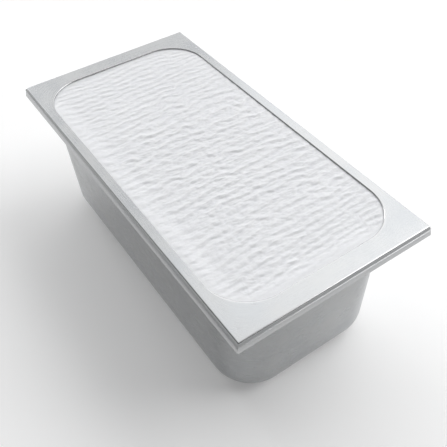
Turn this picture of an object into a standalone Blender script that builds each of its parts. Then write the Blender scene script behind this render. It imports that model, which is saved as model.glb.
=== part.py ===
"""Lemon sorbet in its steel pan, as an ice cream counter sells it.

The pan is one sheet of stainless steel, pressed deep, with a flat flange and a lip that flares down
from the flange's edge to a hemmed bead.
The sorbet fills it to just under the flange, and its top is rippled by the spatula that levelled it.

Sizes are in metres. The origin is at the middle of the pan's base, on the surface that the pan stands on,
with the pan's length along X, its width along Y and up along Z.
"""

import math

import bmesh
import bpy
from mathutils import Vector, noise

# The pan's outside and the thickness of its sheet
PAN_LENGTH = 0.330
PAN_WIDTH = 0.165
PAN_HEIGHT = 0.120
SHEET = 0.0008

# The cavity: its opening, how far each wall leans in by the floor, and its roundings
END_FLANGE = 0.0175
SIDE_FLANGE = 0.0098
OPENING_RADIUS = 0.034
FLOOR_CORNER_RADIUS = 0.0332
END_DRAFT = 0.0016
SIDE_DRAFT = 0.0050
FLOOR_BEND = 0.0172
OPENING_BEND = 0.0010

# The lip: how far the bead stands out past the flange's edge, its depth, and its corners in plan
LIP_FLARE = 0.0015
LIP_DEPTH = 0.0088
LIP_BEND = 0.0010
BEAD_CORNER_RADIUS = 0.0012
SHARPEST_CORNER = 0.0003

# The lip's bright side in section, as insets and drops: upper band, shut line, hem band, rise of the bead
LIP_BANDS = (
    (0.00095, 0.00290),
    (0.00125, 0.00325),
    (0.00075, 0.00365),
    (0.00045, 0.00630),
    (0.00012, 0.00700),
)

# The hem: the radius of its fold, and the inset and drop of the sheet's hidden edge
HEM_BEND = 0.0010
HEM_END_INSET = 0.0024
HEM_END_DROP = 0.0056

# Steps of the curves
CORNER_STEPS = 8
FLOOR_BEND_STEPS = 5
OPENING_BEND_STEPS = 3
LIP_BEND_STEPS = 4
HEM_STEPS = 6

# The sorbet: its clearance to the steel, its level, and the ripples of its top
CLEARANCE = 0.0003
SORBET_LEVEL = PAN_HEIGHT - 0.0020
RIPPLE_SPACING = 0.0088
RIPPLE_LENGTH = 0.044
RIPPLE_HEIGHT = 0.0013
RIPPLE_TURN = math.radians(2)
RIPPLE_WANDER = 0.0035
SWELL_HEIGHT = 0.0005
SWELL_LENGTH = 0.075
ACROSS_STEP = 0.0023
ALONG_STEP = 0.0076

# What the ripple cutter reaches past the sorbet
CUTTER_MARGIN = 0.004
CUTTER_THICKNESS = 0.012

OPENING_LENGTH = PAN_LENGTH - 2 * END_FLANGE
OPENING_WIDTH = PAN_WIDTH - 2 * SIDE_FLANGE


def rounded_rectangle(length, width, radius, height):
    """The points of a rounded rectangle at one height, anticlockwise as seen from above."""
    points = []
    for side_x, side_y, start in ((1, 1, 0), (-1, 1, 90), (-1, -1, 180), (1, -1, 270)):
        centre_x = side_x * (length / 2 - radius)
        centre_y = side_y * (width / 2 - radius)
        for step in range(CORNER_STEPS + 1):
            angle = math.radians(start + 90 * step / CORNER_STEPS)
            x = centre_x + radius * math.cos(angle)
            y = centre_y + radius * math.sin(angle)
            points.append(Vector((x, y, height)))
    return points


def cavity_ring(height, inset):
    """The cavity's outline at a height, drafted towards the floor and moved in by the inset."""
    depth = (PAN_HEIGHT - height) / (PAN_HEIGHT - SHEET)
    length = OPENING_LENGTH - 2 * END_DRAFT * depth - 2 * inset
    width = OPENING_WIDTH - 2 * SIDE_DRAFT * depth - 2 * inset
    radius = OPENING_RADIUS + (FLOOR_CORNER_RADIUS - OPENING_RADIUS) * depth - inset
    return rounded_rectangle(length, width, radius, height)


def lip_ring(inset, drop):
    """The lip's outline at a drop below the flange's top, moved in from the pan's outside."""
    radius = max(BEAD_CORNER_RADIUS - inset, SHARPEST_CORNER)
    return rounded_rectangle(PAN_LENGTH - 2 * inset, PAN_WIDTH - 2 * inset, radius, PAN_HEIGHT - drop)


def turns(degrees, steps):
    """The sine and cosine of each step of a turn, its start included."""
    angles = [math.radians(degrees * step / steps) for step in range(steps + 1)]
    return [(math.sin(angle), math.cos(angle)) for angle in angles]


def bowl_rings(offset):
    """Rings from the flat floor up its rounded edge to the wall, moved out from the bright side."""
    reach = FLOOR_BEND + offset
    rings = []
    for sine, cosine in turns(90, FLOOR_BEND_STEPS):
        rings.append(cavity_ring(SHEET + FLOOR_BEND - reach * cosine, FLOOR_BEND - reach * sine))
    return rings


def opening_rings(offset):
    """Rings over the bend from the wall out to the flange, moved out from the bright side."""
    reach = OPENING_BEND - offset
    rings = []
    for sine, cosine in turns(90, OPENING_BEND_STEPS):
        rings.append(cavity_ring(PAN_HEIGHT - OPENING_BEND + reach * sine, reach * cosine - OPENING_BEND))
    return rings


def lip_rings(offset):
    """Rings from the flange down the lip and round its hem, moved in from the bright side."""
    reach = LIP_BEND - offset
    rings = []
    for sine, cosine in turns(90, LIP_BEND_STEPS):
        rings.append(lip_ring(LIP_FLARE + LIP_BEND - reach * sine, LIP_BEND - reach * cosine))
    for inset, drop in LIP_BANDS:
        rings.append(lip_ring(inset + offset, drop))
    reach = HEM_BEND - offset
    for sine, cosine in turns(180, HEM_STEPS):
        rings.append(lip_ring(HEM_BEND - reach * cosine, LIP_DEPTH - HEM_BEND + reach * sine))
    rings.append(lip_ring(HEM_END_INSET - offset, HEM_END_DROP))
    return rings


def loft(name, rings):
    """A closed solid through rings of points, with a flat face over its first ring and its last."""
    shape = bmesh.new()
    loops = [[shape.verts.new(point) for point in ring] for ring in rings]
    for inner, outer in zip(loops, loops[1:]):
        for near in range(len(inner)):
            far = (near + 1) % len(inner)
            shape.faces.new((inner[near], outer[near], outer[far], inner[far]))
    shape.faces.new(loops[0])
    shape.faces.new(reversed(loops[-1]))
    bmesh.ops.recalc_face_normals(shape, faces=shape.faces)
    mesh = bpy.data.meshes.new(name)
    shape.to_mesh(mesh)
    shape.free()
    return bpy.data.objects.new(name, mesh)


def ripple(x, y):
    """Height of the sorbet's top over its mean level: humps parted by creases across the pan."""
    across = x * math.cos(RIPPLE_TURN) - y * math.sin(RIPPLE_TURN)
    along = x * math.sin(RIPPLE_TURN) + y * math.cos(RIPPLE_TURN)
    wander = noise.noise(Vector((across / RIPPLE_LENGTH, along / RIPPLE_LENGTH, 3.7)))
    across += RIPPLE_WANDER * wander
    hump = abs(noise.noise(Vector((across / RIPPLE_SPACING, along / RIPPLE_LENGTH, 11.3))))
    swell = noise.noise(Vector((x / SWELL_LENGTH, y / SWELL_LENGTH, 5.1)))
    return RIPPLE_HEIGHT * (2 * min(hump, 0.5) - 0.5) + SWELL_HEIGHT * swell


def steel():
    """Satin stainless steel."""
    material = bpy.data.materials.new("steel")
    material.use_nodes = True
    shader = material.node_tree.nodes["Principled BSDF"]
    shader.inputs["Base Color"].default_value = (0.62, 0.63, 0.64, 1)
    shader.inputs["Metallic"].default_value = 1
    shader.inputs["Roughness"].default_value = 0.32
    return material


def sorbet_white():
    """Frozen lemon sorbet, a cool white."""
    material = bpy.data.materials.new("sorbet_white")
    material.use_nodes = True
    shader = material.node_tree.nodes["Principled BSDF"]
    shader.inputs["Base Color"].default_value = (0.88, 0.89, 0.90, 1)
    shader.inputs["Roughness"].default_value = 0.55
    shader.inputs["Subsurface Weight"].default_value = 0.2
    return material


def make_pan(collection):
    """The pan: the sheet's bright side from the floor out to the hem, and its back on to the base."""
    bright_side = bowl_rings(0) + opening_rings(0) + lip_rings(0)
    back = bowl_rings(SHEET) + opening_rings(SHEET) + lip_rings(SHEET)
    pan = loft("pan", bright_side + back[::-1])
    collection.objects.link(pan)
    pan.data.materials.append(steel())
    pan.data.shade_smooth()
    pan.data.set_sharp_from_angle(angle=math.radians(35))
    return pan


def make_ripple_cutter(collection):
    """A block whose rippled underside cuts the sorbet's top."""
    length = OPENING_LENGTH + 2 * CUTTER_MARGIN
    width = OPENING_WIDTH + 2 * CUTTER_MARGIN
    bpy.ops.mesh.primitive_grid_add(
        x_subdivisions=round(length / ACROSS_STEP), y_subdivisions=round(width / ALONG_STEP), size=1
    )
    cutter = bpy.context.object
    cutter.name = "ripple_cutter"
    for vertex in cutter.data.vertices:
        x = vertex.co.x * length
        y = vertex.co.y * width
        vertex.co = (x, y, SORBET_LEVEL + ripple(x, y))
    block = cutter.modifiers.new("block", "SOLIDIFY")
    block.thickness = CUTTER_THICKNESS
    block.offset = 1
    for holder in cutter.users_collection:
        holder.objects.unlink(cutter)
    collection.objects.link(cutter)
    cutter.hide_render = True
    cutter.display_type = "WIRE"
    return cutter


def make_sorbet(collection, cutter):
    """The sorbet: the cavity's shape less the clearance, cut to a rippled top."""
    rings = bowl_rings(-CLEARANCE)
    rings.append(cavity_ring(PAN_HEIGHT + CUTTER_THICKNESS / 2, CLEARANCE))
    sorbet = loft("sorbet", rings)
    collection.objects.link(sorbet)
    cut = sorbet.modifiers.new("rippled_top", "BOOLEAN")
    cut.operation = "DIFFERENCE"
    cut.object = cutter
    sorbet.data.materials.append(sorbet_white())
    return sorbet


def main():
    for thing in list(bpy.data.objects):
        bpy.data.objects.remove(thing)
    parts = bpy.data.collections.new("lemon_sorbet")
    cutters = bpy.data.collections.new("cutters")
    for collection in (parts, cutters):
        bpy.context.scene.collection.children.link(collection)
    make_pan(parts)
    make_sorbet(parts, make_ripple_cutter(cutters))


main()
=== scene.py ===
import math
from functools import partial

import bmesh
import bpy
from mathutils import Matrix, Vector, noise


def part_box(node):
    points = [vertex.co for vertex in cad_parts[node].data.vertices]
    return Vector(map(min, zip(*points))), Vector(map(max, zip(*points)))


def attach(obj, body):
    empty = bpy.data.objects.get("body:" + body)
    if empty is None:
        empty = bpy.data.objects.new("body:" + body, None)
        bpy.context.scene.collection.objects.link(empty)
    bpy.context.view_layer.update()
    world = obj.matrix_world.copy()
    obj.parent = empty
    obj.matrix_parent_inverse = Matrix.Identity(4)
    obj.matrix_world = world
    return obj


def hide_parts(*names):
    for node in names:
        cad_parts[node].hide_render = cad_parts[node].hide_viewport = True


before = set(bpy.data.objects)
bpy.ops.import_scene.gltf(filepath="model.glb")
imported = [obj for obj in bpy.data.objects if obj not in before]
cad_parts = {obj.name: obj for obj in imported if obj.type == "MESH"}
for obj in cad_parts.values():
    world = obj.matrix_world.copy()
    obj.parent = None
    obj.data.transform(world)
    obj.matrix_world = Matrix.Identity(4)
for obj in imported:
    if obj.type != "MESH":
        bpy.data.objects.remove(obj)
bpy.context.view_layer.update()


# The pan is one blank of 0.8 mm stainless steel, drawn deep and trimmed. Its flange stays flat,
# and the edge of the sheet is turned down into a flared lip and folded back under itself as a
# hem, so that no cut edge shows. Both sides of the sheet are modelled, from the floor to the hem.

pan_low, pan_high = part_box("pan")
pan_length = pan_high.x - pan_low.x
pan_width = pan_high.y - pan_low.y
pan_top = pan_high.z

sheet = 0.0008
end_flange = 0.0175
side_flange = 0.0098
opening_radius = 0.034
floor_corner_radius = 0.0332
end_draft = 0.0016
side_draft = 0.0050
floor_bend = 0.0172
opening_bend = 0.0006
lip_flare = 0.0015
lip_depth = 0.0088
lip_bend = 0.0010
bead_corner_radius = 0.0012
sharpest_corner = 0.0003
hem_bend = 0.0010
hem_end_inset = 0.0024
hem_end_drop = 0.0056
press_wave = 0.00012
press_wave_length = 0.055

corner_steps = 20
end_steps = 12
side_steps = 34
floor_bend_steps = 10
wall_steps = 16
opening_bend_steps = 6
lip_bend_steps = 6
hem_steps = 12
flange_shares = (0.05, 0.15, 0.35, 0.65, 0.85, 0.95)
sharp_angle = math.radians(40)

# The lip below its bend: inset from the pan's outside, drop below the flange's top, and rubbing
# with painted reflection. A value of 1 is rubbed bright steel with a painted highlight, and -1 is
# painted shade, darker and rougher, where the lip reflects something dark.
lip_bands = (
    (0.00118, 0.0019, -1.0),
    (0.00106, 0.0024, -0.7),
    (0.00095, 0.00290, 0.0),
    (0.00100, 0.00305, -0.4),
    (0.00125, 0.00325, -1.0),
    (0.00125, 0.00335, -0.8),
    (0.00080, 0.00355, 0.0),
    (0.00075, 0.00375, 0.1),
    (0.00060, 0.0050, 0.2),
    (0.00045, 0.00630, 0.6),
    (0.00036, 0.00665, 0.7),
    (0.00012, 0.00715, 1.0),
)
floor_bend_wear = 0.5
opening_bend_wear = 0.8
# The lip's bend carries a painted highlight over its upper part and painted shade where it turns
# down.
lip_bend_painted_highlight = 2.2
lip_bend_painted_shade = 0.8

opening_length = pan_length - 2 * end_flange
opening_width = pan_width - 2 * side_flange
wall_foot = sheet + floor_bend
wall_head = pan_top - opening_bend


def rounded_outline(length, width, radius, height):
    """Points of a rounded rectangle at one height, anticlockwise, its straight runs divided too."""
    points = []
    corners = (
        (1, 1, 0, end_steps),
        (-1, 1, 90, side_steps),
        (-1, -1, 180, end_steps),
        (1, -1, 270, side_steps),
    )
    for side_x, side_y, start, steps in corners:
        centre = Vector((side_x * (length / 2 - radius), side_y * (width / 2 - radius), height))
        arc = []
        for step in range(corner_steps + 1):
            angle = math.radians(start + 90 * step / corner_steps)
            arc.append(centre + Vector((radius * math.cos(angle), radius * math.sin(angle), 0)))
        if points:
            last = points[-1]
            points += [last.lerp(arc[0], step / steps) for step in range(1, steps)]
        points += arc
    last = points[-1]
    points += [last.lerp(points[0], step / end_steps) for step in range(1, end_steps)]
    return points


def cavity_outline(height, inset):
    """The cavity's outline at a height, drafted in towards the floor and moved in by the inset."""
    depth = (pan_top - height) / (pan_top - sheet)
    length = opening_length - 2 * end_draft * depth - 2 * inset
    width = opening_width - 2 * side_draft * depth - 2 * inset
    radius = opening_radius + (floor_corner_radius - opening_radius) * depth - inset
    return rounded_outline(length, width, radius, height)


def lip_outline(inset, drop):
    """The lip's outline at a drop below the flange's top, moved in from the pan's outside."""
    radius = max(bead_corner_radius - inset, sharpest_corner)
    return rounded_outline(pan_length - 2 * inset, pan_width - 2 * inset, radius, pan_top - drop)


def turns(degrees, steps):
    """The sine and cosine of each step of a turn, its start included."""
    angles = [math.radians(degrees * step / steps) for step in range(steps + 1)]
    return [(math.sin(angle), math.cos(angle)) for angle in angles]


def press_waved(outline):
    """The drawn wall's outline with the faint waves of the press, strongest at mid height."""
    waved = []
    for point in outline:
        share = (point.z - wall_foot) / (wall_head - wall_foot)
        strength = press_wave * math.sin(math.pi * min(max(share, 0), 1)) ** 0.5
        direction = Vector((point.x, point.y, 0)).normalized()
        waved.append(point + direction * strength * noise.noise(point / press_wave_length))
    return waved


def one_side(offset):
    """Outlines of one side of the sheet from floor to hem, each with its rub and painted
    reflection.

    The offset is 0 for the side seen from above, and the sheet's thickness for its back.
    """
    side = []
    reach = floor_bend + offset
    for sine, cosine in turns(90, floor_bend_steps):
        outline = cavity_outline(wall_foot - reach * cosine, floor_bend - reach * sine)
        side.append((outline, floor_bend_wear * sine * cosine))
    for step in range(1, wall_steps):
        height = wall_foot + (wall_head - wall_foot) * step / wall_steps
        side.append((press_waved(cavity_outline(height, -offset)), 0.0))
    reach = opening_bend - offset
    for sine, cosine in turns(90, opening_bend_steps):
        outline = cavity_outline(wall_head + reach * sine, reach * cosine - opening_bend)
        side.append((outline, opening_bend_wear * sine))
    flange_start = side[-1][0]
    flange_end = lip_outline(lip_flare + lip_bend, offset)
    for share in flange_shares:
        outline = [near.lerp(far, share) for near, far in zip(flange_start, flange_end)]
        side.append((outline, 0.0))
    reach = lip_bend - offset
    for sine, cosine in turns(90, lip_bend_steps):
        outline = lip_outline(lip_flare + lip_bend - reach * sine, lip_bend - reach * cosine)
        side.append((outline, (lip_bend_painted_highlight * cosine - lip_bend_painted_shade * sine) * sine))
    for inset, drop, wear_and_reflection in lip_bands:
        side.append((lip_outline(inset + offset, drop), wear_and_reflection))
    # The hem's fold is painted lightest at its middle, a painted highlight along the rolled edge.
    reach = hem_bend - offset
    for sine, cosine in turns(180, hem_steps):
        outline = lip_outline(hem_bend - reach * cosine, lip_depth - hem_bend + reach * sine)
        side.append((outline, sine))
    side.append((lip_outline(hem_end_inset - offset, hem_end_drop), 0.0))
    return side


def made_piece(name, shape):
    """A piece of the scene from a finished shape."""
    mesh = bpy.data.meshes.new(name)
    shape.to_mesh(mesh)
    shape.free()
    piece = bpy.data.objects.new(name, mesh)
    bpy.context.scene.collection.objects.link(piece)
    return piece


shape = bmesh.new()
# Each ring keeps its rubbing and painted reflection: the light and dark bands painted into the
# steel.
wear_and_reflection_layer = shape.verts.layers.float.new("sheet_wear_and_reflection")
sheet_map = shape.loops.layers.uv.new("sheet_map")
loops = []
for outline, wear_and_reflection in one_side(0) + one_side(sheet)[::-1]:
    loop = [shape.verts.new(point) for point in outline]
    for vert in loop:
        vert[wear_and_reflection_layer] = wear_and_reflection
    loops.append(loop)

# The map runs round the pan and up the sheet from floor to hem, both in metres.
rim_lengths = [0.0]
rim = cavity_outline(pan_top, 0)
for near, far in zip(rim, rim[1:] + rim[:1]):
    rim_lengths.append(rim_lengths[-1] + (far - near).length)
climb = 0.0
for inner, outer in zip(loops, loops[1:]):
    rise = (outer[0].co - inner[0].co).length
    for near in range(len(inner)):
        far = (near + 1) % len(inner)
        face = shape.faces.new((inner[near], outer[near], outer[far], inner[far]))
        corners = ((near, 0), (near, rise), (near + 1, rise), (near + 1, 0))
        for corner, (round_rim, up) in zip(face.loops, corners):
            corner[sheet_map].uv = (rim_lengths[round_rim], climb + up)
    climb += rise

# The flat of the floor, inside and out
for flat in (loops[0], loops[-1][::-1]):
    face = shape.faces.new(flat)
    for corner in face.loops:
        corner[sheet_map].uv = (corner.vert.co.x, corner.vert.co.y)
bmesh.ops.recalc_face_normals(shape, faces=shape.faces)
pan = made_piece("steel_pan", shape)
pan.data.shade_smooth()
pan.data.set_sharp_from_angle(angle=sharp_angle)


def feed(tree, socket, value):
    """Give a socket of a node tree a plain value, or the output of another node."""
    if isinstance(value, (int, float, tuple)):
        socket.default_value = value
    else:
        tree.links.new(value, socket)


def tree_maths(tree, operation, *values):
    """A math node of a tree."""
    node = tree.nodes.new("ShaderNodeMath")
    node.operation = operation
    for socket, value in zip(node.inputs, values):
        feed(tree, socket, value)
    return node.outputs[0]


def tree_range(tree, value, low, high, new_low, new_high, curve="LINEAR"):
    """A value moved from one range to another and kept inside it, straight or on a smooth curve."""
    node = tree.nodes.new("ShaderNodeMapRange")
    node.interpolation_type = curve
    feed(tree, node.inputs["Value"], value)
    feed(tree, node.inputs["From Min"], low)
    feed(tree, node.inputs["From Max"], high)
    feed(tree, node.inputs["To Min"], new_low)
    feed(tree, node.inputs["To Max"], new_high)
    return node.outputs["Result"]


def tree_blend(tree, share, first, second):
    """A colour that goes from the first to the second with the share."""
    node = tree.nodes.new("ShaderNodeMix")
    node.data_type = "RGBA"
    feed(tree, node.inputs[0], share)
    feed(tree, node.inputs[6], first)
    feed(tree, node.inputs[7], second)
    return node.outputs[2]


def tree_noise(tree, source, scales, detail):
    """The factor of a noise on a vector that is stretched by three scales."""
    stretched = tree.nodes.new("ShaderNodeMapping")
    feed(tree, stretched.inputs["Vector"], source)
    feed(tree, stretched.inputs["Scale"], scales)
    texture = tree.nodes.new("ShaderNodeTexNoise")
    feed(tree, texture.inputs["Vector"], stretched.outputs["Vector"])
    feed(tree, texture.inputs["Scale"], 1)
    feed(tree, texture.inputs["Detail"], detail)
    return texture.outputs["Fac"]


def tree_bump(tree, height, strength, distance):
    """The normal of a surface with fine bumps."""
    node = tree.nodes.new("ShaderNodeBump")
    feed(tree, node.inputs["Height"], height)
    feed(tree, node.inputs["Strength"], strength)
    feed(tree, node.inputs["Distance"], distance)
    return node.outputs["Normal"]


def tree_attribute(tree, name):
    """A number that the piece's mesh carries."""
    node = tree.nodes.new("ShaderNodeAttribute")
    node.attribute_name = name
    return node.outputs["Fac"]


satin_colour = (0.404, 0.414, 0.424, 1)
clouded_colour = (0.443, 0.448, 0.451, 1)
# Rubbed steel and the lip's painted highlights take the lighter colour below. The lip's painted
# shade bands are darkened by the tone after it.
rubbed_and_highlight_colour = (0.504, 0.504, 0.504, 1)
most_rub_and_highlight = 0.6
band_painted_shade_level = 0.74
# Painted shade on the drawn walls: their colour is a little lighter low down, darker towards the
# top, and plain again at the lip.
wall_foot_painted_light = 1.05
wall_top_painted_shade = 0.90
low_wall = 0.03
high_wall = 0.075
walls_end = 0.108
lip_start = 0.111
smooth_satin = 0.23
rough_satin = 0.31
grain_roughness = 0.035
spot_roughness = 0.05
rub_and_highlight_polish = 0.07
shaded_band_roughness = 0.16
scratch_depth = 0.8

# Cells of noise per metre. Grain and scratches are long round the pan and thin up the sheet.
grain_cells = (45, 1500, 1)
scratch_cells = (110, 2200, 1)
cloud_cells = (30, 30, 30)
spot_cells = (210, 210, 210)

# Where a noise starts to count and where it counts in full. Most of it is between 0.3 and 0.7.
noise_limits = (0.3, 0.7)
cloud_limits = (0.35, 0.65)
spot_limits = (0.62, 0.72)
scratch_limits = (0.72, 0.80)

steel = bpy.data.materials.new("satin_steel")
steel.use_nodes = True
steel_tree = steel.node_tree
steel_maths = partial(tree_maths, steel_tree)
steel_range = partial(tree_range, steel_tree)
steel_noise = partial(tree_noise, steel_tree)

along_sheet = steel_tree.nodes.new("ShaderNodeUVMap")
along_sheet.uv_map = "sheet_map"
steel_place = steel_tree.nodes.new("ShaderNodeTexCoord")
wear_and_reflection_share = tree_attribute(steel_tree, "sheet_wear_and_reflection")
grain = steel_noise(along_sheet.outputs["UV"], grain_cells, detail=3)
scratch_field = steel_noise(along_sheet.outputs["UV"], scratch_cells, detail=1)
scratches = steel_range(scratch_field, *scratch_limits, 0, 1)
clouds = steel_noise(steel_place.outputs["Object"], cloud_cells, detail=4)
spots = steel_noise(steel_place.outputs["Object"], spot_cells, detail=2)

clouded = steel_range(clouds, *cloud_limits, 0, 1)
tone = tree_blend(steel_tree, clouded, satin_colour, clouded_colour)
# Lighter where rubbed and where the lip has a painted highlight
rub_and_highlight = steel_range(wear_and_reflection_share, 0, 1, 0, most_rub_and_highlight)
tone = tree_blend(steel_tree, rub_and_highlight, tone, rubbed_and_highlight_colour)
steel_xyz = steel_tree.nodes.new("ShaderNodeSeparateXYZ")
feed(steel_tree, steel_xyz.inputs["Vector"], steel_place.outputs["Object"])
steel_height = steel_xyz.outputs["Z"]
# The walls' painted shade, darker towards the top
wall_painted_shade_mix = steel_tree.nodes.new("ShaderNodeMix")
feed(steel_tree, wall_painted_shade_mix.inputs[0], steel_range(steel_height, walls_end, lip_start, 1, 0))
feed(steel_tree, wall_painted_shade_mix.inputs[2], 1)
painted_wall_shade = steel_range(steel_height, low_wall, high_wall, wall_foot_painted_light, wall_top_painted_shade)
feed(steel_tree, wall_painted_shade_mix.inputs[3], painted_wall_shade)
# Darker in the lip's painted shade bands
painted_band_shade = steel_range(wear_and_reflection_share, -1, 0, band_painted_shade_level, 1)
steel_colour = steel_tree.nodes.new("ShaderNodeVectorMath")
steel_colour.operation = "SCALE"
feed(steel_tree, steel_colour.inputs[0], tone)
tone_share = steel_maths("MULTIPLY", wall_painted_shade_mix.outputs[0], painted_band_shade)
feed(steel_tree, steel_colour.inputs["Scale"], tone_share)

satin = steel_range(clouds, *noise_limits, smooth_satin, rough_satin)
grained = steel_range(grain, *noise_limits, -grain_roughness, grain_roughness)
satin = steel_maths("ADD", satin, grained)
satin = steel_maths("ADD", satin, steel_range(spots, *spot_limits, 0, spot_roughness))
satin = steel_maths("SUBTRACT", satin, steel_range(wear_and_reflection_share, 0, 1, 0, rub_and_highlight_polish))
satin = steel_maths("ADD", satin, steel_range(wear_and_reflection_share, -1, 0, shaded_band_roughness, 0))
fine_relief = steel_maths("SUBTRACT", grain, steel_range(scratches, 0, 1, 0, scratch_depth))

fine_normal = tree_bump(steel_tree, fine_relief, strength=0.12, distance=0.00004)

shader = steel_tree.nodes["Principled BSDF"]
shader.inputs["Metallic"].default_value = 1
feed(steel_tree, shader.inputs["Base Color"], steel_colour.outputs["Vector"])
feed(steel_tree, shader.inputs["Roughness"], satin)
feed(steel_tree, shader.inputs["Normal"], fine_normal)

pan.data.materials.append(steel)
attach(pan, "root")
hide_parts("pan")


# The sorbet is churned lemon juice, sugar and water with about 30 per cent of air, levelled with a
# spatula and blast frozen to the steel as one block. The blade left ripples across the pan, with
# steep near sides, which crowd towards both ends, slant a little and break up into small humps.

top_gap = 0.00005
side_gap = 0.00025
side_gap_depth = 0.004
rim_rise = 0.00105
sorbet_level = pan_top - rim_rise
rise_reach = 0.016
rim_reach = 0.002
cell_length = 0.00047
cell_width = 0.00105
floor_edge_steps = 3
crease_angle = math.radians(60)

# Where the smear up to the flange starts and is full: by the near end along Y, by the left along X.
near_rise_start = 0.055
near_rise_full = 0.025
left_rise_start = -0.135
left_rise_full = -0.105

top_length = opening_length - 2 * top_gap
top_width = opening_width - 2 * top_gap
top_radius = opening_radius - top_gap


def smooth_share(value, reach):
    """0 at nothing, 1 from the reach on, and a smooth rise between them."""
    share = min(max(value / reach, 0), 1)
    return share * share * (3 - 2 * share)


def past_corner(x, y):
    """How far a point lies past the centre of its corner's rounding, along X and along Y."""
    return abs(x) - (top_length / 2 - top_radius), abs(y) - (top_width / 2 - top_radius)


def squared_corner(a, b):
    """A point of the unit square, moved so that the square's outer corner is a quarter circle."""
    if a >= b:
        turn = math.pi / 4 * b / a
        return a * math.cos(turn), a * math.sin(turn)
    turn = math.pi / 2 - math.pi / 4 * a / b
    return b * math.cos(turn), b * math.sin(turn)


def fitted(x, y):
    """A point of the plain rectangle, moved into the one with rounded corners."""
    past_x, past_y = past_corner(x, y)
    if past_x <= 0 or past_y <= 0:
        return x, y
    round_x, round_y = squared_corner(past_x / top_radius, past_y / top_radius)
    new_x = math.copysign(top_length / 2 - top_radius + top_radius * round_x, x)
    new_y = math.copysign(top_width / 2 - top_radius + top_radius * round_y, y)
    return new_x, new_y


def steel_distance(x, y):
    """How far a point of the top lies inside the steel."""
    past_x, past_y = past_corner(x, y)
    outside = math.hypot(max(past_x, 0), max(past_y, 0))
    return top_radius - outside - min(max(past_x, past_y), 0)


def towards_steel(x, y):
    """The direction from a point of the top to the nearest steel."""
    past_x, past_y = past_corner(x, y)
    if past_x > 0 and past_y > 0:
        direction = Vector((past_x, past_y, 0)).normalized()
    elif past_x > past_y:
        direction = Vector((1, 0, 0))
    else:
        direction = Vector((0, 1, 0))
    return Vector((math.copysign(direction.x, x), math.copysign(direction.y, y), 0))


def smeared_share(x, y):
    """How far the sorbet is smeared up to the flange: by its near end and its left side only."""
    near_end = 1 - smooth_share(top_length / 2 - x, rise_reach)
    near_end *= smooth_share(near_rise_start - y, near_rise_start - near_rise_full)
    left_side = 1 - smooth_share(top_width / 2 + y, rise_reach)
    left_side *= smooth_share(x - left_rise_start, left_rise_full - left_rise_start)
    return max(near_end, left_side)


cells_along = round(top_length / cell_length)
cells_across = round(top_width / cell_width)
shape = bmesh.new()
depth_layer = shape.verts.layers.float.new("from_steel")
top_layer = shape.verts.layers.float.new("on_top")
rows = []
for i in range(cells_along + 1):
    row = []
    for j in range(cells_across + 1):
        x, y = fitted(top_length * (i / cells_along - 0.5), top_width * (j / cells_across - 0.5))
        depth = steel_distance(x, y)
        level = sorbet_level + rim_rise * smeared_share(x, y)
        up_bend = min(max(level - wall_head, 0), opening_bend)
        onto_bend = opening_bend - math.sqrt(opening_bend ** 2 - up_bend ** 2)
        onto_bend *= 1 - smooth_share(depth, rim_reach)
        vert = shape.verts.new(Vector((x, y, level)) + onto_bend * towards_steel(x, y))
        vert[depth_layer] = depth
        vert[top_layer] = 1.0
        row.append(vert)
    rows.append(row)
for i in range(cells_along):
    for j in range(cells_across):
        shape.faces.new((rows[i][j], rows[i + 1][j], rows[i + 1][j + 1], rows[i][j + 1]))
edge = [rows[i][0] for i in range(cells_along)]
edge += [rows[cells_along][j] for j in range(cells_across)]
edge += [rows[i][cells_across] for i in range(cells_along, 0, -1)]
edge += [rows[0][j] for j in range(cells_across, 0, -1)]
above = edge
levels = [(sorbet_level - side_gap_depth, side_gap), (wall_foot, side_gap)]
bend = floor_bend - side_gap
for sine, cosine in turns(90, floor_edge_steps)[1:]:
    levels.append((wall_foot - bend * sine, side_gap + bend * (1 - cosine)))
for height, inset in levels:
    depth = (pan_top - height) / (pan_top - sheet)
    share_x = 1 - 2 * (end_draft * depth + inset) / top_length
    share_y = 1 - 2 * (side_draft * depth + inset) / top_width
    below = [shape.verts.new((vert.co.x * share_x, vert.co.y * share_y, height)) for vert in edge]
    for near in range(len(edge)):
        far = (near + 1) % len(edge)
        shape.faces.new((above[near], below[near], below[far], above[far]))
    above = below
shape.faces.new(reversed(above))
sorbet = made_piece("lemon_sorbet", shape)

# The crests are white and the hollows are painted darker and bluer: painted shade in the ripples.
crest_white = (0.782, 0.786, 0.802, 1)
hollow_painted_shade = (0.716, 0.728, 0.753, 1)
frost_white = (0.802, 0.807, 0.824, 1)
most_frost = 0.5
icy_gloss = 0.32
icy_matt = 0.52
crystal_cells = (900, 900, 900)
frost_cells = (24, 24, 24)
frost_limits = (0.4, 0.7)

# Ripple heights in millimetres: all hollow, with the painted shade in full, and all crest
ripple_limits = (-1.0, 0.6)

ice = bpy.data.materials.new("frozen_sorbet")
ice.use_nodes = True
ice_tree = ice.node_tree
ice_range = partial(tree_range, ice_tree)
ice_place = ice_tree.nodes.new("ShaderNodeTexCoord")
crystals = tree_noise(ice_tree, ice_place.outputs["Object"], crystal_cells, detail=3)
icy_normal = tree_bump(ice_tree, crystals, strength=0.35, distance=0.0002)
# Painted shade: darker in the ripples' hollows
hollow = ice_range(tree_attribute(ice_tree, "ripple_height"), *ripple_limits, 1, 0)
white = tree_blend(ice_tree, hollow, crest_white, hollow_painted_shade)
frost_field = tree_noise(ice_tree, ice_place.outputs["Object"], frost_cells, detail=3)
frosted = ice_range(frost_field, *frost_limits, 0, most_frost)
white = tree_blend(ice_tree, frosted, white, frost_white)

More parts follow.
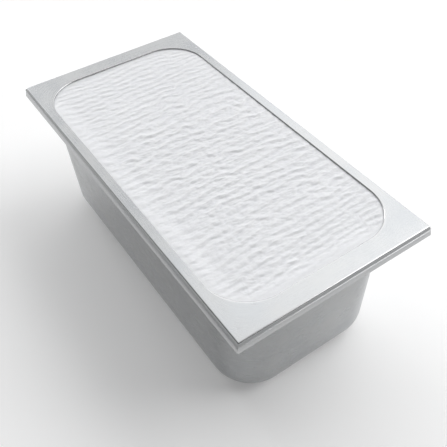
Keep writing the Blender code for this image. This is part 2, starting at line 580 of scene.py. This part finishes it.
shader = ice_tree.nodes["Principled BSDF"]
shader.inputs["Subsurface Weight"].default_value = 0.15
shader.inputs["Subsurface Radius"].default_value = (1.0, 1.0, 1.1)
shader.inputs["Subsurface Scale"].default_value = 0.0015
feed(ice_tree, shader.inputs["Base Color"], white)
feed(ice_tree, shader.inputs["Roughness"], ice_range(crystals, *noise_limits, icy_gloss, icy_matt))
feed(ice_tree, shader.inputs["Normal"], icy_normal)

relief = bpy.data.node_groups.new("spatula_ripples", "GeometryNodeTree")
sockets = {}
for label, kind, direction in (
    ("Geometry", "NodeSocketGeometry", "INPUT"),
    ("Ripple Spacing", "NodeSocketFloat", "INPUT"),
    ("End Crowding", "NodeSocketFloat", "INPUT"),
    ("Ripple Height", "NodeSocketFloat", "INPUT"),
    ("Wander Length", "NodeSocketFloat", "INPUT"),
    ("Wander", "NodeSocketFloat", "INPUT"),
    ("Break Width", "NodeSocketFloat", "INPUT"),
    ("Break Length", "NodeSocketFloat", "INPUT"),
    ("Hump Spacing", "NodeSocketFloat", "INPUT"),
    ("Hump Height", "NodeSocketFloat", "INPUT"),
    ("Grain Size", "NodeSocketFloat", "INPUT"),
    ("Grain Height", "NodeSocketFloat", "INPUT"),
    ("Swell Height", "NodeSocketFloat", "INPUT"),
    ("Lean", "NodeSocketFloat", "INPUT"),
    ("Calm Edge", "NodeSocketFloat", "INPUT"),
    ("Seed", "NodeSocketFloat", "INPUT"),
    ("Material", "NodeSocketMaterial", "INPUT"),
    ("Geometry", "NodeSocketGeometry", "OUTPUT"),
):
    socket = relief.interface.new_socket(name=label, in_out=direction, socket_type=kind)
    sockets[(direction, label)] = socket.identifier

given = relief.nodes.new("NodeGroupInput").outputs
result = relief.nodes.new("NodeGroupOutput")
link = relief.links.new
maths = partial(tree_maths, relief)
ramp = partial(tree_range, relief, curve="SMOOTHSTEP")

drift_length = 0.09
drift_width = 0.12
drift_reach = 0.010
wander_spacing = 0.030
steep_side = 0.15
hump_stretch = 2.1
grain_stretch = 1.6
swell_length = 0.07
rim_strength = 0.25
lean_reach = 0.003
millimetres = 1000.0

# Noise at which a ripple is most broken and whole, and its strength there
break_strengths = (-0.25, 0.20, 0.38, 1.03)

# Along X or Y: where a change starts and ends, and the value before and after it
slant_places = (-0.12, -0.02, 0.0, 0.07)
far_end_calm = (-0.15, 0.0, 0.58, 1.0)
left_side_calm = (-0.07, -0.02, 0.62, 1.0)
near_part_calm = (0.05, 0.10, 1.0, 0.88)
near_end_calm = (0.134, 0.146, 1.0, 0.30)


def waves(across, along, detail, shift):
    """Smooth noise between about -1 and 1 on two scaled coordinates, its seed shifted."""
    place = relief.nodes.new("ShaderNodeCombineXYZ")
    link(across, place.inputs["X"])
    link(along, place.inputs["Y"])
    texture = relief.nodes.new("ShaderNodeTexNoise")
    texture.noise_dimensions = "4D"
    texture.inputs["Scale"].default_value = 1
    texture.inputs["Detail"].default_value = detail
    texture.inputs["Roughness"].default_value = 0.5
    link(place.outputs["Vector"], texture.inputs["Vector"])
    link(maths("ADD", given["Seed"], shift), texture.inputs["W"])
    return maths("MULTIPLY", maths("SUBTRACT", texture.outputs["Fac"], 0.5), 2.0)


def stored(name):
    """A number that the mesh carries at each of its points."""
    node = relief.nodes.new("GeometryNodeInputNamedAttribute")
    node.data_type = "FLOAT"
    node.inputs["Name"].default_value = name
    return node.outputs["Attribute"]


position = relief.nodes.new("GeometryNodeInputPosition")
parted = relief.nodes.new("ShaderNodeSeparateXYZ")
link(position.outputs["Position"], parted.inputs["Vector"])
x_place = parted.outputs["X"]
y_place = parted.outputs["Y"]

drift_x = maths("DIVIDE", x_place, drift_length)
drift_y = maths("DIVIDE", y_place, drift_width)
drift = maths("MULTIPLY", waves(drift_x, drift_y, detail=0.0, shift=1.0), drift_reach)
across = maths("ADD", x_place, drift)
across = maths("ADD", across, maths("MULTIPLY", y_place, ramp(x_place, *slant_places)))
wander_x = maths("DIVIDE", across, wander_spacing)
wander_y = maths("DIVIDE", y_place, given["Wander Length"])
wander = waves(wander_x, wander_y, detail=1.0, shift=9.0)
turn = maths("DIVIDE", across, given["Ripple Spacing"])
cubed = maths("MULTIPLY", maths("MULTIPLY", across, across), across)
turn = maths("ADD", turn, maths("MULTIPLY", cubed, given["End Crowding"]))
turn = maths("MULTIPLY", turn, math.tau)
turn = maths("ADD", turn, maths("MULTIPLY", wander, given["Wander"]))
steepened = maths("MULTIPLY", maths("SINE", maths("MULTIPLY", turn, 2.0)), steep_side)
ripple = maths("ADD", maths("SINE", turn), steepened)

# Half the height each way, and turned over, so that the steep sides face the near end
ripple = maths("MULTIPLY", ripple, -0.5)
break_x = maths("DIVIDE", across, given["Break Width"])
break_y = maths("DIVIDE", y_place, given["Break Length"])
breaks = waves(break_x, break_y, detail=0.0, shift=15.0)
strength = ramp(breaks, *break_strengths)
ripple =maths("MULTIPLY", maths("MULTIPLY", ripple, strength), given["Ripple Height"])

hump_x = maths("DIVIDE", across, given["Hump Spacing"])
hump_y = maths("DIVIDE", y_place, maths("MULTIPLY", given["Hump Spacing"], hump_stretch))
humps = maths("MULTIPLY", waves(hump_x, hump_y, detail=1.0, shift=21.0), given["Hump Height"])
grain_x = maths("DIVIDE", across, given["Grain Size"])
grain_y = maths("DIVIDE", y_place, maths("MULTIPLY", given["Grain Size"], grain_stretch))
grains = maths("MULTIPLY", waves(grain_x, grain_y, detail=1.0, shift=33.0), given["Grain Height"])
swell_x = maths("DIVIDE", x_place, swell_length)
swell_y = maths("DIVIDE", y_place, swell_length)
swell = maths("MULTIPLY", waves(swell_x, swell_y, detail=0.0, shift=41.0), given["Swell Height"])

far_calm = maths("MULTIPLY", ramp(x_place, *far_end_calm), ramp(y_place, *left_side_calm))
near_calm = maths("MULTIPLY", ramp(x_place, *near_part_calm), ramp(x_place, *near_end_calm))
rim_calm = ramp(stored("from_steel"), 0.0, given["Calm Edge"], rim_strength, 1.0)
ripples = maths("ADD", maths("ADD", ripple, humps), grains)
ripples = maths("MULTIPLY", ripples, far_calm)
ripples = maths("MULTIPLY", ripples, maths("MULTIPLY", near_calm, rim_calm))
swell = maths("MULTIPLY", swell, rim_calm)
height = maths("MULTIPLY", maths("ADD", ripples, swell), stored("on_top"))
lean = maths("MULTIPLY", maths("MULTIPLY", ripples, stored("on_top")), given["Lean"])
lean = maths("MULTIPLY", lean, ramp(stored("from_steel"), 0.0, lean_reach, 0.0, 1.0))

keep = relief.nodes.new("GeometryNodeStoreNamedAttribute")
keep.data_type = "FLOAT"
keep.domain = "POINT"
keep.inputs["Name"].default_value = "ripple_height"
link(given["Geometry"], keep.inputs["Geometry"])
link(maths("MULTIPLY", ripples, millimetres), keep.inputs["Value"])
lift = relief.nodes.new("ShaderNodeCombineXYZ")
link(lean, lift.inputs["X"])
link(height, lift.inputs["Z"])
move = relief.nodes.new("GeometryNodeSetPosition")
link(keep.outputs["Geometry"], move.inputs["Geometry"])
link(lift.outputs["Vector"], move.inputs["Offset"])
real = relief.nodes.new("GeometryNodeRealizeInstances")
link(move.outputs["Geometry"], real.inputs["Geometry"])
coat = relief.nodes.new("GeometryNodeSetMaterial")
link(real.outputs["Geometry"], coat.inputs["Geometry"])
link(given["Material"], coat.inputs["Material"])
link(coat.outputs["Geometry"], result.inputs["Geometry"])

rippling = sorbet.modifiers.new("ripples", "NODES")
rippling.node_group = relief
for label, value in (
    ("Ripple Spacing", 0.0096),
    ("End Crowding", 960.0),
    ("Ripple Height", 0.00062),
    ("Wander Length", 0.014),
    ("Wander", 6.0),
    ("Break Width", 0.008),
    ("Break Length", 0.0115),
    ("Hump Spacing", 0.0037),
    ("Hump Height", 0.00063),
    ("Grain Size", 0.0014),
    ("Grain Height", 0.00041),
    ("Swell Height", 0.0004),
    ("Lean", 0.14),
    ("Calm Edge", 0.0035),
    ("Seed", 7.0),
    ("Material", ice),
):
    rippling[sockets[("INPUT", label)]] = value
depsgraph = bpy.context.evaluated_depsgraph_get()
rippled_mesh = bpy.data.meshes.new_from_object(sorbet.evaluated_get(depsgraph))
sorbet.modifiers.clear()
sorbet.data = rippled_mesh
rippled_mesh.shade_smooth()
rippled_mesh.set_sharp_from_angle(angle=crease_angle)
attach(sorbet, "root")
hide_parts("sorbet")


# The floor is a sheet of white opal acrylic on a light table, large enough to fill the picture.
# A weak glow from beneath softens the pan's shadow.

floor_reach = 4
shape = bmesh.new()
bmesh.ops.create_grid(shape, x_segments=1, y_segments=1, size=floor_reach)
floor = made_piece("floor", shape)
opal = bpy.data.materials.new("white_opal")
opal.use_nodes = True
shader = opal.node_tree.nodes["Principled BSDF"]
shader.inputs["Base Color"].default_value = (0.86, 0.86, 0.86, 1)
shader.inputs["Roughness"].default_value = 0.9
shader.inputs["Specular IOR Level"].default_value = 0.0
shader.inputs["Emission Color"].default_value = (1, 1, 1, 1)
shader.inputs["Emission Strength"].default_value = 0.17
floor.data.materials.append(opal)


# The room is a studio with a white wall behind the pan and grey walls elsewhere. Two large soft
# lamps stand at its right and behind it, and a small low one beyond its far end draws out the
# relief. Azimuths count from +X towards +Y.

white_wall_azimuth = math.radians(150)
white_wall_rise = 0.35
cosine_at_edge = 0.3
cosine_at_white = 0.9
grey_wall_level = 0.165
white_wall_level = 1.22
softbox_distance = 3.0
watts_per_radiance = 4

world = bpy.data.worlds.new("white_studio")
bpy.context.scene.world = world
world.use_nodes = True
room_tree = world.node_tree
wall_x = math.cos(white_wall_azimuth)
wall_y = math.sin(white_wall_azimuth)
sky_place = room_tree.nodes.new("ShaderNodeTexCoord")
facing = room_tree.nodes.new("ShaderNodeVectorMath")
facing.operation = "DOT_PRODUCT"
facing.inputs[1].default_value = Vector((wall_x, wall_y, white_wall_rise)).normalized()
feed(room_tree, facing.inputs[0], sky_place.outputs["Generated"])
wall_level = tree_range(
    room_tree,
    facing.outputs["Value"],
    cosine_at_edge,
    cosine_at_white,
    grey_wall_level,
    white_wall_level,
    curve="SMOOTHSTEP",
)
background = room_tree.nodes["Background"]
background.inputs["Color"].default_value = (0.995, 1.0, 1.005, 1)
feed(room_tree, background.inputs["Strength"], wall_level)


def add_softbox(name, size, radiance, azimuth, elevation):
    """A square lamp that looks at the middle of the pan's top, its angles in degrees."""
    lamp = bpy.data.objects.new(name, bpy.data.lights.new(name, "AREA"))
    bpy.context.scene.collection.objects.link(lamp)
    lamp.data.shape = "SQUARE"
    lamp.data.size = size
    lamp.data.energy = watts_per_radiance * radiance * size * size
    azimuth = math.radians(azimuth)
    elevation = math.radians(elevation)
    direction = Vector((
        math.cos(elevation) * math.cos(azimuth),
        math.cos(elevation) * math.sin(azimuth),
        math.sin(elevation),
    ))
    lamp.location = Vector((0, 0, pan_top)) + softbox_distance * direction
    lamp.rotation_mode = "QUATERNION"
    lamp.rotation_quaternion = direction.to_track_quat("Z", "Y")


add_softbox("right_softbox", size=2.5, radiance=2.36, azimuth=72, elevation=41)
add_softbox("back_softbox", size=2.4, radiance=0.60, azimuth=120, elevation=44)
add_softbox("relief_softbox", size=0.9, radiance=9.6, azimuth=182, elevation=13)


# The camera stands off the near end of the pan and looks down on it, as in the photograph. Its
# place, its turn and its focal length come from a fit to the pan's outline there.

picture_size = 447
camera_focal_pixels = 621.6
camera_azimuth = math.radians(57.23)
camera_elevation = math.radians(46.477)
camera_roll = math.radians(-2.388)

camera = bpy.data.objects.new("camera", bpy.data.cameras.new("camera"))
bpy.context.scene.collection.objects.link(camera)
camera.data.sensor_width = 36
camera.data.lens = camera_focal_pixels / picture_size * camera.data.sensor_width
camera.data.clip_start = 0.01
camera.location = (0.32847, -0.19384, 0.43399)
look = Vector((
    -math.sin(camera_azimuth) * math.cos(camera_elevation),
    math.cos(camera_azimuth) * math.cos(camera_elevation),
    -math.sin(camera_elevation),
))
tilt = Matrix.Rotation(camera_roll, 3, "Z").to_quaternion()
camera.rotation_mode = "QUATERNION"
camera.rotation_quaternion = look.to_track_quat("-Z", "Y") @ tilt
bpy.context.scene.camera = camera
bpy.context.scene.view_settings.view_transform = "Standard"
